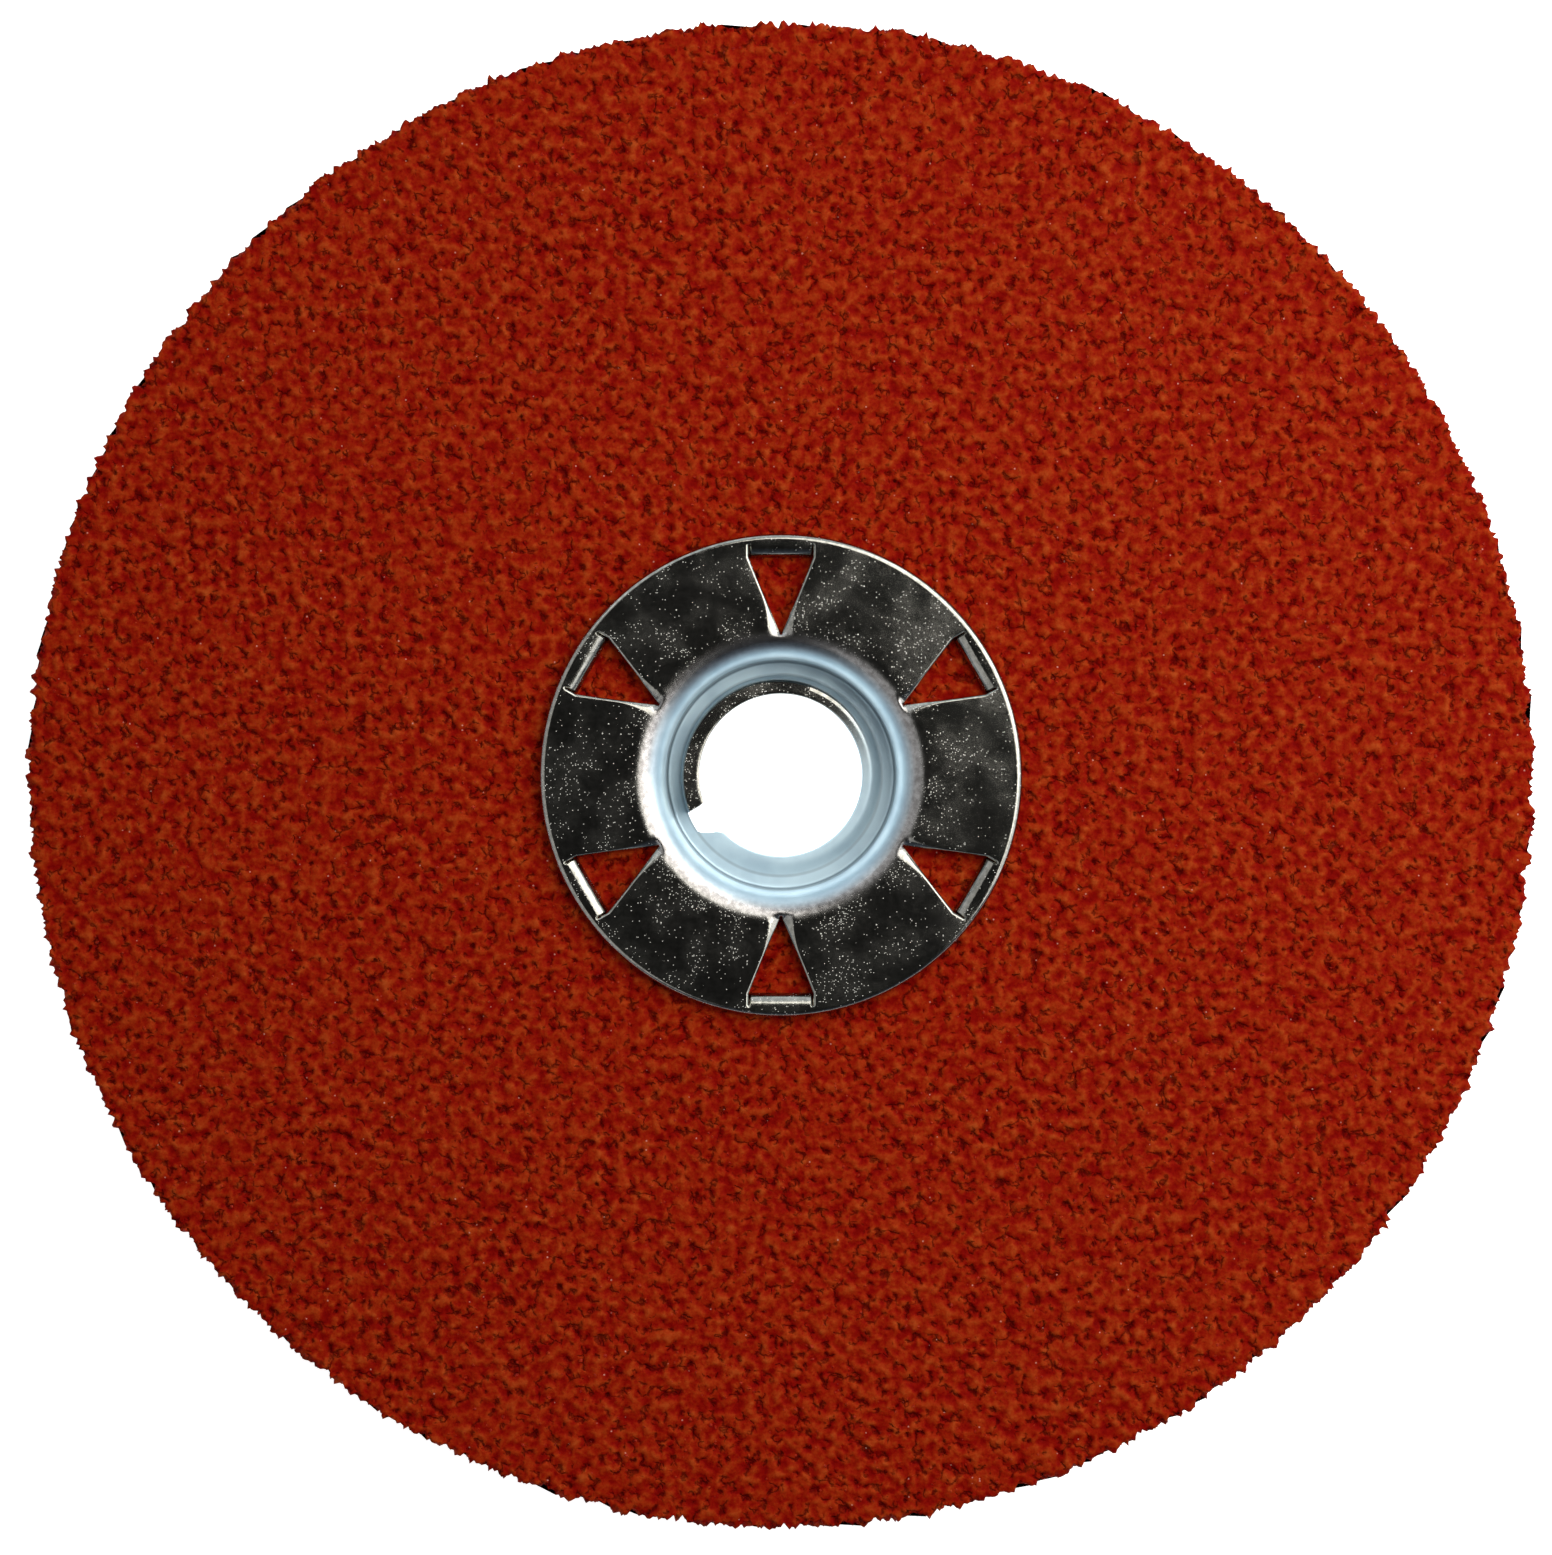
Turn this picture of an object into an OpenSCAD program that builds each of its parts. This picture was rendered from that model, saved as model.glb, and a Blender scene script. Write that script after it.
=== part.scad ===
// Resin-fibre abrasive disc with a stamped, threaded hub nut, for an angle grinder.
// Millimetres. The disc lies flat: abrasive face up (+Z), hub cup hanging below,
// and Z = 0 on the underside of the cup. The hub axis is the Z axis.

/* [Abrasive disc] */
// Diameter of the disc
disc_d = 127; // [90:1:230]
// How far the grain and resin stand out past the edge of the fibre
rim_overhang = 0.3; // [0:0.05:0.6]
// Diameter of the centre hole in the fibre
fibre_hole_d = 22.23; // [22:0.01:23]
// Thickness of the vulcanised-fibre backing
fibre_t = 0.84; // [0.6:0.02:1.2]
// Thickness of the resin that bonds the grain to the fibre
make_coat_t = 0.15; // [0.05:0.01:0.3]
// Height of the layer of abrasive grain
grain_t = 0.75; // [0.3:0.05:1.1]
// Thickness of the red resin over the grain
size_coat_t = 0.15; // [0.05:0.01:0.3]

/* [Hub sheet] */
// Thickness of the steel sheet
sheet_t = 1.0; // [0.8:0.05:1.2]
// Diameter of the hub flange
flange_d = 40.8; // [39:0.1:60]
// Rounding of the flange's outer top edge
flange_edge_r = 0.45; // [0.1:0.05:0.7]
// Inside diameter of the cup
cup_d = 19.5; // [19:0.1:20]
// Depth of the cup, from the flange's face to the floor's face
cup_depth = 5.0; // [4.6:0.1:9]
// Radius of the rounded shoulder, on its outside
shoulder_r = 1.95; // [1.4:0.05:2]
// Inside radius of the corner between wall and floor
corner_r = 0.3; // [0.1:0.05:0.6]

/* [Thread lip] */
// Diameter of the threaded hole at the crests (5/8-11 UNC minor diameter)
thread_d = 13.9; // [13.4:0.05:14.2]
// Pitch of the thread (11 turns to the inch)
thread_pitch = 2.309; // [1.5:0.001:2.4]
// Width of the lip at its raised end
lip_high_w = 1.52; // [1.2:0.02:1.7]
// Width of the lip at its flush end
lip_low_w = 0.33; // [0.2:0.01:0.6]
// Where the lip's steep part ends, as a share of its width from the hole's edge
lip_knee = 0.55; // [0.4:0.01:0.8]
// How much of its rise the lip has made there, as a share
lip_knee_rise = 0.72; // [0.6:0.01:0.9]
// Angle left open between the two ends of the lip
notch_angle = 24; // [10:1:60]
// Direction of the lip's raised end, counter-clockwise from +X
lip_start_angle = 200; // [0:1:360]

/* [Tangs] */
// Number of tangs, and of windows that they leave
tang_count = 6; // [3:1:6]
// Direction of the first tang
first_tang_angle = 30; // [0:1:119]
// Distance from the axis to a window's inner point
window_tip_r = 11.94; // [11.9:0.02:12.6]
// Distance from the axis to the foot of a tang
tang_root_r = 18.4; // [17:0.1:18.8]
// Width of a tang at its foot
tang_w = 5.4; // [4:0.1:8]
// Inside radius of a tang's two bends
tang_bend_r = 0.1; // [0.05:0.05:0.1]
// Play between a tang and the slit that it makes in the disc
slit_gap = 0.15; // [0.1:0.01:0.3]

/* [Hidden] */
$fn = 96;
cut = 1;         // how far a cutting shape runs past what it cuts
lap = 0.15;      // how far the lip's strip runs into the floor that carries it
overlap_angle = 2;  // how far each arc of the lip runs into the one before it

// heights, from the cup's underside up
floor_z = sheet_t;
flange_z = floor_z + cup_depth;
face_z = flange_z - sheet_t;
grain_z = face_z - size_coat_t;
make_z = grain_z - grain_t;
fibre_z = make_z - make_coat_t;
back_z = fibre_z - fibre_t;
fibre_r = disc_d / 2 - rim_overhang;

// hub
cup_r = cup_d / 2;
shoulder_axis_r = cup_r + shoulder_r;
coat_hole_r = shoulder_axis_r + 0.05;
thread_r = thread_d / 2;
lip_root_r = thread_r + lip_high_w;

// tangs
bend_out_r = tang_bend_r + sheet_t;
bend_axis_r = tang_root_r + bend_out_r;
upper_bend_z = face_z - tang_bend_r;
lower_bend_z = back_z + tang_bend_r;
tang_blank = tang_root_r - window_tip_r;
tang_used = upper_bend_z - lower_bend_z + PI / 2 * (tang_bend_r + sheet_t / 2);
tip_length = tang_blank - tang_used;
tip_w = tang_w * tip_length / tang_blank;

// a quarter of a ring about [x, y]; turn picks the quarter
module quarter_ring(x, y, outer, inner, turn) {
    translate([x, y]) rotate(turn) intersection() {
        difference() {
            circle(r = outer);
            circle(r = inner);
        }
        square(outer + cut);
    }
}

// everything that is repeated once for each tang
module at_tangs() {
    for (i = [0 : tang_count - 1])
        rotate(first_tang_angle + i * 360 / tang_count) children();
}

// outline of the tang's straight run, seen along a radius and grown by gap
module tang_outline(gap) {
    rise = upper_bend_z - (lower_bend_z - bend_out_r);
    slope = (tang_w - tip_w) / 2 / rise;
    top_w = tang_w / 2 + gap + slope * cut;
    foot_w = tip_w / 2 + gap - slope * cut;
    polygon([
        [-top_w, upper_bend_z + cut], [top_w, upper_bend_z + cut],
        [foot_w, upper_bend_z - rise - cut], [-foot_w, upper_bend_z - rise - cut]
    ]);
}

// the outline stood up, as a block from one radius to another
module tang_block(from_r, to_r, gap) {
    translate([from_r, 0, 0]) rotate([90, 0, 90])
        linear_extrude(to_r - from_r) tang_outline(gap);
}

// the slits that the tangs pierce
module slits() {
    at_tangs() tang_block(tang_root_r - slit_gap, tang_root_r + sheet_t + slit_gap, slit_gap);
}

// one flat layer of the disc, with its hole and slits
module layer(z, thickness, outer_r, hole_r) {
    difference() {
        translate([0, 0, z]) cylinder(r = outer_r, h = thickness);
        translate([0, 0, z - cut]) cylinder(r = hole_r, h = thickness + 2 * cut);
        slits();
    }
}

module fibre_backing() {
    color("sienna") layer(back_z, fibre_t, fibre_r, fibre_hole_d / 2);
}

module make_coat() {
    color("maroon") layer(fibre_z, make_coat_t, fibre_r, coat_hole_r);
}

module abrasive_grain() {
    color("firebrick") layer(make_z, grain_t, disc_d / 2, coat_hole_r);
}

module size_coat() {
    color("orangered") layer(grain_z, size_coat_t, disc_d / 2, coat_hole_r);
}

// half section of the flange, shoulder, cup wall and floor
module hub_section() {
    flange_r = flange_d / 2;
    edge_z = flange_z - flange_edge_r;
    translate([shoulder_axis_r, face_z])
        square([flange_r - flange_edge_r - shoulder_axis_r, sheet_t]);
    translate([shoulder_axis_r, face_z])
        square([flange_r - shoulder_axis_r, sheet_t - flange_edge_r]);
    translate([flange_r - flange_edge_r, edge_z]) circle(r = flange_edge_r);
    quarter_ring(shoulder_axis_r, flange_z - shoulder_r, shoulder_r, shoulder_r - sheet_t, 90);
    translate([cup_r, floor_z + corner_r])
        square([sheet_t, flange_z - shoulder_r - floor_z - corner_r]);
    quarter_ring(cup_r - corner_r, floor_z + corner_r, corner_r + sheet_t, corner_r, 270);
    translate([lip_root_r, 0]) square([cup_r - corner_r - lip_root_r, sheet_t]);
}

// the triangular window, with the room for the tang's upper bend
module window() {
    translate([0, 0, face_z - cut]) linear_extrude(sheet_t + 2 * cut) {
        polygon([[window_tip_r, 0], [tang_root_r, -tang_w / 2], [tang_root_r, tang_w / 2]]);
        translate([tang_root_r, -tang_w / 2]) square([bend_out_r, tang_w]);
    }
}

// section of a tang's bends and straight run, seen from its side
module tang_section() {
    quarter_ring(bend_axis_r, upper_bend_z, bend_out_r, tang_bend_r, 90);
    translate([tang_root_r, lower_bend_z]) square([sheet_t, upper_bend_z - lower_bend_z]);
    quarter_ring(bend_axis_r, lower_bend_z, bend_out_r, tang_bend_r, 180);
}

// a tang: bent down through the disc, then clinched outwards under the fibre
module tang() {
    translate([0, tang_w / 2, 0]) rotate([90, 0, 0]) linear_extrude(tang_w)
        quarter_ring(bend_axis_r, upper_bend_z, bend_out_r, tang_bend_r, 90);
    intersection() {
        translate([0, tang_w / 2, 0]) rotate([90, 0, 0]) linear_extrude(tang_w) tang_section();
        tang_block(tang_root_r - cut, bend_axis_r, 0);
    }
    translate([bend_axis_r, 0, back_z - sheet_t]) linear_extrude(sheet_t)
        polygon([[0, -tip_w / 2], [tip_length, 0], [0, tip_w / 2]]);
}

// The thread lip: a strip of the floor lifted into one turn of a right-hand helix.
// It falls clockwise, seen from above, from its raised end to flush with the floor.
// The helix is made of short true arcs, so that the hole's wall stays a true cylinder.
module lip_strip() {
    steps = 18;
    step_angle = (360 - notch_angle) / steps;
    for (i = [0 : steps - 1]) {
        along = (i + 0.5) / steps;
        w = lip_high_w + (lip_low_w - lip_high_w) * along;
        rise = thread_pitch * (1 - (i + 1) * step_angle / 360);
        face = [
            [lip_root_r + lap, 0],
            [thread_r + w, 0],
            [thread_r + w * lip_knee, rise * lip_knee_rise],
            [thread_r, rise]
        ];
        rotate(lip_start_angle - (i + 1) * step_angle)
            rotate_extrude(angle = step_angle + overlap_angle) polygon(concat(
                [for (p = face) [p[0], p[1] + sheet_t]],
                [for (k = [3 : -1 : 0]) face[k]]
            ));
    }
}

module hub_nut() {
    color("lightsteelblue") {
        difference() {
            rotate_extrude() hub_section();
            at_tangs() window();
        }
        at_tangs() tang();
        lip_strip();
    }
}

fibre_backing();
make_coat();
abrasive_grain();
size_coat();
hub_nut();
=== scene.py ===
import math

import bmesh
import bpy
import numpy as np
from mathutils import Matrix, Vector
from mathutils.geometry import delaunay_2d_cdt


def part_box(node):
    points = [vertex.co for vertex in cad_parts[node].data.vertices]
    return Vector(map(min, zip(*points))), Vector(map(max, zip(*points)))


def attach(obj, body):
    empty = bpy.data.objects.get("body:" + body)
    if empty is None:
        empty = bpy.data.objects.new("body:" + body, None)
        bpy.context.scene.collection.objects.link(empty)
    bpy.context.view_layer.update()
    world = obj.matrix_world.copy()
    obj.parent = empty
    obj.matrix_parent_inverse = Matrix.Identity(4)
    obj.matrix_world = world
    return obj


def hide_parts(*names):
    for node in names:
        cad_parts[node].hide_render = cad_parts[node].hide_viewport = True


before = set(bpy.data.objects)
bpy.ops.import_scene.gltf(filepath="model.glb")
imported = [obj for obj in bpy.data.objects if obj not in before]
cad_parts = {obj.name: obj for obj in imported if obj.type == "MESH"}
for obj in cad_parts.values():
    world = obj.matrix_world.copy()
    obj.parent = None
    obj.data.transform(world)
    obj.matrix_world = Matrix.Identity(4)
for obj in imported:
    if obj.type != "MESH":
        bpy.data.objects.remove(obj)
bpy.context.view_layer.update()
mm = 0.001  # shapes are worked out in millimetres and stored in metres
root = "root"

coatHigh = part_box("size_coat")[1] / mm
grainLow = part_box("abrasive_grain")[0] / mm
hubLow, hubHigh = [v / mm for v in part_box("hub_nut")]
print("frame loaded")


# small helpers
def makeObject(name, points, faces, smooth=True):
    mesh = bpy.data.meshes.new(name)
    mesh.from_pydata([(x * mm, y * mm, z * mm) for x, y, z in points], [], faces)
    mesh.polygons.foreach_set("use_smooth", [smooth] * len(mesh.polygons))
    mesh.update()
    obj = bpy.data.objects.new(name, mesh)
    bpy.context.scene.collection.objects.link(obj)
    return obj


def zipRows(a, b):  # triangles between two rows of vertex numbers that run the same way
    faces, i, j = [], 0, 0
    lastA, lastB = len(a) - 1, len(b) - 1
    while i < lastA or j < lastB:
        if j == lastB or (i < lastA and (i + 1) * lastB <= (j + 1) * lastA):
            faces.append((a[i], b[j], a[i + 1]))
            i += 1
        else:
            faces.append((a[i], b[j], b[j + 1]))
            j += 1
    return faces


def addNode(tree, kind, inputs=(), **fields):
    made = tree.nodes.new(kind)
    for key, value in fields.items():
        setattr(made, key, value)
    for key, value in dict(inputs).items():
        if isinstance(value, bpy.types.NodeSocket):
            tree.links.new(value, made.inputs[key])
        else:
            made.inputs[key].default_value = value
    return made


def calc(tree, operation, a, b=0.0):
    return addNode(tree, "ShaderNodeMath", {0: a, 1: b}, operation=operation).outputs[0]


def smoothStep(tree, value, low, high, start=0.0, end=1.0):
    ends = {"Value": value, "From Min": low, "From Max": high, "To Min": start, "To Max": end}
    return addNode(tree, "ShaderNodeMapRange", ends, interpolation_type="SMOOTHSTEP").outputs[0]


def noise(tree, vector, scale, detail=2.0, roughness=0.5):
    sockets = {"Vector": vector, "Scale": scale, "Detail": detail, "Roughness": roughness}
    return addNode(tree, "ShaderNodeTexNoise", sockets)


def flatOf(tree, vector):  # the same place with no height
    level = addNode(tree, "ShaderNodeVectorMath", {0: vector, 1: (1.0, 1.0, 0.0)}, operation="MULTIPLY")
    return level.outputs[0]


def lengthOf(tree, vector):
    return addNode(tree, "ShaderNodeVectorMath", {0: vector}, operation="LENGTH").outputs["Value"]


def times(tree, a, b):
    return calc(tree, "MULTIPLY", a, b)


def plus(tree, a, b):
    return calc(tree, "ADD", a, b)


def minus(tree, a, b):
    return calc(tree, "SUBTRACT", a, b)


def newTree(name, kind, inputs, outputs):
    tree = bpy.data.node_groups.new(name, kind)
    for label, (socketType, value) in inputs.items():
        socket = tree.interface.new_socket(label, in_out="INPUT", socket_type=socketType)
        if value is not None:
            socket.default_value = value
    for label, socketType in outputs.items():
        tree.interface.new_socket(label, in_out="OUTPUT", socket_type=socketType)
    return tree, tree.nodes.new("NodeGroupInput"), tree.nodes.new("NodeGroupOutput")


def runTree(obj, tree, values):  # the tree's result becomes the object's plain mesh
    modifier = obj.modifiers.new(tree.name, "NODES")
    modifier.node_group = tree
    for item in tree.interface.items_tree:
        if item.item_type == "SOCKET" and item.in_out == "INPUT" and item.name in values:
            modifier[item.identifier] = values[item.name]
    bpy.context.view_layer.update()
    depsgraph = bpy.context.evaluated_depsgraph_get()
    mesh = bpy.data.meshes.new_from_object(obj.evaluated_get(depsgraph), depsgraph=depsgraph)
    obj.modifiers.remove(modifier)
    finish = [m for m in mesh.materials if m][0]
    mesh.materials.clear()
    mesh.materials.append(finish)
    mesh.polygons.foreach_set("material_index", [0] * len(mesh.polygons))
    obj.data = mesh
    return obj


def newMaterial(name, **shaderValues):
    material = bpy.data.materials.new(name)
    material.use_nodes = True
    tree = material.node_tree
    shader = tree.nodes["Principled BSDF"]
    for key, value in shaderValues.items():
        shader.inputs[key].default_value = value
    where = tree.nodes.new("ShaderNodeTexCoord").outputs["Object"]
    return material, tree, shader, where


def placeGroup(tree, group, inputs):
    made = tree.nodes.new("ShaderNodeGroup")
    made.node_tree = group
    for key, value in inputs.items():
        if isinstance(value, bpy.types.NodeSocket):
            tree.links.new(value, made.inputs[key])
        else:
            made.inputs[key].default_value = value
    return made


def colourRamp(tree, factor, stops):
    ramp = addNode(tree, "ShaderNodeValToRGB", {"Fac": factor})
    elements = ramp.color_ramp.elements
    while len(elements) < len(stops):
        elements.new(1.0)
    for element, (place, colour) in zip(elements, stops):
        element.position = place
        element.color = (*colour, 1.0)
    return ramp.outputs["Color"]


def mixColour(tree, factor, a, b):
    made = addNode(tree, "ShaderNodeMix", {}, data_type="RGBA")
    for socket, value in ((made.inputs[0], factor), (made.inputs[6], a), (made.inputs[7], b)):
        if isinstance(value, bpy.types.NodeSocket):
            tree.links.new(value, socket)
        elif isinstance(value, tuple):
            socket.default_value = (*value, 1.0)
        else:
            socket.default_value = value
    return made.outputs[2]


# camera, floor and light
cameraPlace = {"lens": 100.0, "sensor": 36.0, "x": -0.42, "y": -0.19, "above": 365.7}
floorLook = {"size": 6.0, "drop": 0.02, "colour": (0.86, 0.86, 0.86), "glow": 0.80}
lights = {
    "keyRight": {"azimuth": 38, "elevation": 50, "distance": 0.28, "size": (0.30, 0.30), "watts": 0.92},
    "topPanel": {"azimuth": 92, "elevation": 28, "distance": 0.62, "size": (1.10, 0.50), "watts": 1.9},
    "leftPanel": {"azimuth": 184, "elevation": 45, "distance": 0.95, "size": (1.70, 1.00), "watts": 3.7},
    "rightPanel": {"azimuth": 4, "elevation": 36, "distance": 0.40, "size": (0.45, 0.36), "watts": 0.95},
}
lightTint = {"keyRight": (1.0, 0.97, 0.92), "topPanel": (0.90, 0.96, 1.0)}
skyStops = [(0.0, (0.80, 0.82, 0.85)), (0.09, (0.76, 0.78, 0.82)), (0.19, (0.13, 0.16, 0.21)),
            (0.5, (0.05, 0.06, 0.08)), (0.85, (0.02, 0.02, 0.02))]  # by the height of the direction

camera = bpy.data.objects.new("camera", bpy.data.cameras.new("camera"))
bpy.context.scene.collection.objects.link(camera)
camera.data.lens = cameraPlace["lens"]
camera.data.sensor_width = cameraPlace["sensor"]
camera.data.clip_start, camera.data.clip_end = 0.01, 20.0
camera.location = Vector((cameraPlace["x"], cameraPlace["y"], coatHigh.z + cameraPlace["above"])) * mm
bpy.context.scene.camera = camera
bpy.context.scene.view_settings.view_transform = "Standard"

half = floorLook["size"] / 2 / mm
floorZ = hubLow.z - floorLook["drop"]
floorCorners = [(-half, -half, floorZ), (half, -half, floorZ), (half, half, floorZ), (-half, half, floorZ)]
floor = makeObject("floor", floorCorners, [(0, 1, 2, 3)])
floorMaterial, tree, shader, where = newMaterial("paleFloor", Roughness=0.8)
shader.inputs["Base Color"].default_value = (*floorLook["colour"], 1.0)
shader.inputs["Emission Color"].default_value = (1.0, 1.0, 1.0, 1.0)
shader.inputs["Emission Strength"].default_value = floorLook["glow"]
floor.data.materials.append(floorMaterial)

world = bpy.data.worlds.new("studio")
world.use_nodes = True
bpy.context.scene.world = world
tree = world.node_tree
direction = tree.nodes.new("ShaderNodeTexCoord").outputs["Generated"]
height = addNode(tree, "ShaderNodeSeparateXYZ", {0: direction}).outputs["Z"]
sky = colourRamp(tree, height, skyStops)
tree.links.new(sky, tree.nodes["Background"].inputs["Color"])

for name, spot in lights.items():
    lamp = bpy.data.lights.new(name, "AREA")
    lamp.shape = "RECTANGLE"
    lamp.size, lamp.size_y = spot["size"]
    lamp.energy = spot["watts"]
    lamp.color = lightTint.get(name, (1.0, 1.0, 1.0))
    obj = bpy.data.objects.new(name, lamp)
    bpy.context.scene.collection.objects.link(obj)
    azimuth, elevation = math.radians(spot["azimuth"]), math.radians(spot["elevation"])
    level = math.cos(elevation)
    toward = Vector((math.cos(azimuth) * level, math.sin(azimuth) * level, math.sin(elevation)))
    obj.location = toward * spot["distance"]
    obj.rotation_mode = "QUATERNION"
    obj.rotation_quaternion = toward.to_track_quat("Z", "Y")
print("camera, floor and lights ready")


# the coat's relief: soft lumps with short crevices, the same in its shape and in its colour; the colour
# paints light on the lump tops and shade in the crevices and holes
relief = {
    "lump": 1.00, "lumpSpan": (0.28, 0.72), "cell": 1.20, "crackHalf": 0.13, "crackDepth": 0.85,
    "patch": 1.1, "patchSpan": (0.50, 0.60), "warp": 0.60, "warpCell": 0.8, "hole": 1.05,
    "holeRim": (0.08, 0.29), "holeShare": 0.26, "glint": 0.60,
}


def reliefChain(tree, position):
    flat = flatOf(tree, position)
    wander = noise(tree, flat, 1 / (relief["warpCell"] * mm), 2.0).outputs["Color"]
    centred = addNode(tree, "ShaderNodeVectorMath", {0: wander, 1: (0.5, 0.5, 0.5)}, operation="SUBTRACT")
    wander = addNode(tree, "ShaderNodeVectorMath", {0: centred.outputs[0]}, operation="SCALE")
    wander.inputs["Scale"].default_value = relief["warp"] * 2 * mm
    bent = addNode(tree, "ShaderNodeVectorMath", {0: flat, 1: wander.outputs[0]}, operation="ADD").outputs[0]
    edge = addNode(tree, "ShaderNodeTexVoronoi", {"Vector": bent, "Scale": 1 / (relief["cell"] * mm)},
                   feature="DISTANCE_TO_EDGE").outputs["Distance"]
    patches = noise(tree, flat, 1 / (relief["patch"] * mm), 1.0).outputs[0]
    crack = times(tree, smoothStep(tree, edge, 0.0, relief["crackHalf"], relief["crackDepth"], 0.0),
                  smoothStep(tree, patches, *relief["patchSpan"]))
    holes = addNode(tree, "ShaderNodeTexVoronoi", {"Vector": bent, "Scale": 1 / (relief["hole"] * mm)})
    chosen = addNode(tree, "ShaderNodeSeparateXYZ", {0: holes.outputs["Color"]}).outputs["X"]
    hollow = times(tree, smoothStep(tree, holes.outputs["Distance"], *relief["holeRim"], 1.0, 0.0),
                   calc(tree, "LESS_THAN", chosen, relief["holeShare"]))
    pit = calc(tree, "MAXIMUM", crack, hollow)
    lumps = noise(tree, flat, 1 / (relief["lump"] * mm), 3.0, 0.55).outputs[0]
    return smoothStep(tree, lumps, *relief["lumpSpan"]), pit


coat = {
    "cell": 0.24, "innerR": 11.80, "edgeR": 63.60, "edgeStart": 0.3, "floorColumns": 12, "meanZ": 4.78,
    "lump": 0.21, "pit": 0.32, "topLimit": 6.0, "underFlangeR": 20.8, "underFlangeZ": 4.96,
    "rimWander": 1.45, "rimFade": 0.9,
    "coarseCell": 1.5, "coarseShare": 1.1, "fineCell": 0.45, "fineShare": 1.3,
    "edgeRows": ((-0.10, 0.93, 0.8), (0.0, 0.72, 0.45), (0.05, 0.45, 0.0), (0.03, 0.2, 0.0),
                 (-0.05, 0.0, 0.0)),  # outward, share of the height, share of the relief
}


def coatHeight(tree, position):  # height of the coat's surface, in metres
    lumps, pit = reliefChain(tree, position)
    rise = times(tree, minus(tree, lumps, 0.5), coat["lump"] * mm)
    dip = times(tree, pit, coat["pit"] * mm)
    z = minus(tree, plus(tree, rise, coat["meanZ"] * mm), dip)
    radius = lengthOf(tree, flatOf(tree, position))
    outside = calc(tree, "GREATER_THAN", radius, coat["underFlangeR"] * mm)
    ceiling = plus(tree, times(tree, outside, 1.0 * mm), coat["underFlangeZ"] * mm)
    return calc(tree, "MINIMUM", z, ceiling), radius


# shader groups that several materials use
sparksGroup, groupIn, groupOut = newTree(
    "sparks", "ShaderNodeTree",
    {"Vector": ("NodeSocketVector", None), "Cell": ("NodeSocketFloat", 0.5 * mm),
     "Reach": ("NodeSocketFloat", 0.2), "Share": ("NodeSocketFloat", 0.1)}, {"Mask": "NodeSocketFloat"})
dotScale = calc(sparksGroup, "DIVIDE", 1.0, groupIn.outputs["Cell"])
dots = addNode(sparksGroup, "ShaderNodeTexVoronoi", {"Vector": groupIn.outputs["Vector"], "Scale": dotScale})
chosen = addNode(sparksGroup, "ShaderNodeSeparateColor", {0: dots.outputs["Color"]}).outputs[0]
reach = groupIn.outputs["Reach"]
near = smoothStep(sparksGroup, dots.outputs["Distance"], times(sparksGroup, reach, 0.5), reach, 1.0, 0.0)
lit = calc(sparksGroup, "LESS_THAN", chosen, groupIn.outputs["Share"])
sparksGroup.links.new(calc(sparksGroup, "MULTIPLY", near, lit), groupOut.inputs["Mask"])

reliefGroup, groupIn, groupOut = newTree(
    "coatRelief", "ShaderNodeTree", {"Vector": ("NodeSocketVector", None)},
    {"Relief": "NodeSocketFloat", "Pit": "NodeSocketFloat"})
lumps, pit = reliefChain(reliefGroup, groupIn.outputs["Vector"])
for label, socket in (("Relief", lumps), ("Pit", pit)):
    reliefGroup.links.new(socket, groupOut.inputs[label])

mottleGroup, groupIn, groupOut = newTree(
    "fineMottle", "ShaderNodeTree",
    {"Vector": ("NodeSocketVector", None), "Size": ("NodeSocketFloat", 0.2 * mm),
     "Detail": ("NodeSocketFloat", 3.0)},
    {"Value": "NodeSocketFloat", "Specks": "NodeSocketFloat"})
mottleScale = calc(mottleGroup, "DIVIDE", 1.0, groupIn.outputs["Size"])
field = noise(mottleGroup, groupIn.outputs["Vector"], mottleScale, groupIn.outputs["Detail"], 0.6).outputs[0]
grit = noise(mottleGroup, groupIn.outputs["Vector"], times(mottleGroup, mottleScale, 2.3), 1.0).outputs[0]
mottleGroup.links.new(smoothStep(mottleGroup, field, 0.25, 0.75), groupOut.inputs["Value"])
mottleGroup.links.new(smoothStep(mottleGroup, grit, 0.56, 0.70), groupOut.inputs["Specks"])

# materials
coatLook = {
    "stops": [(0.0, (0.120, 0.0002, 0.0001)), (0.26, (0.168, 0.0018, 0.0002)), (0.5, (0.204, 0.0080, 0.0007)),
              (0.74, (0.244, 0.0205, 0.0022)), (1.0, (0.290, 0.0430, 0.0065))],
    # pit is the colour of painted shade in the crevices and holes, glint that of a painted highlight
    "pit": (0.055, 0.0004, 0.0002), "glint": (0.62, 0.30, 0.24), "mottle": 0.72, "bump": 0.24,
}


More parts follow.
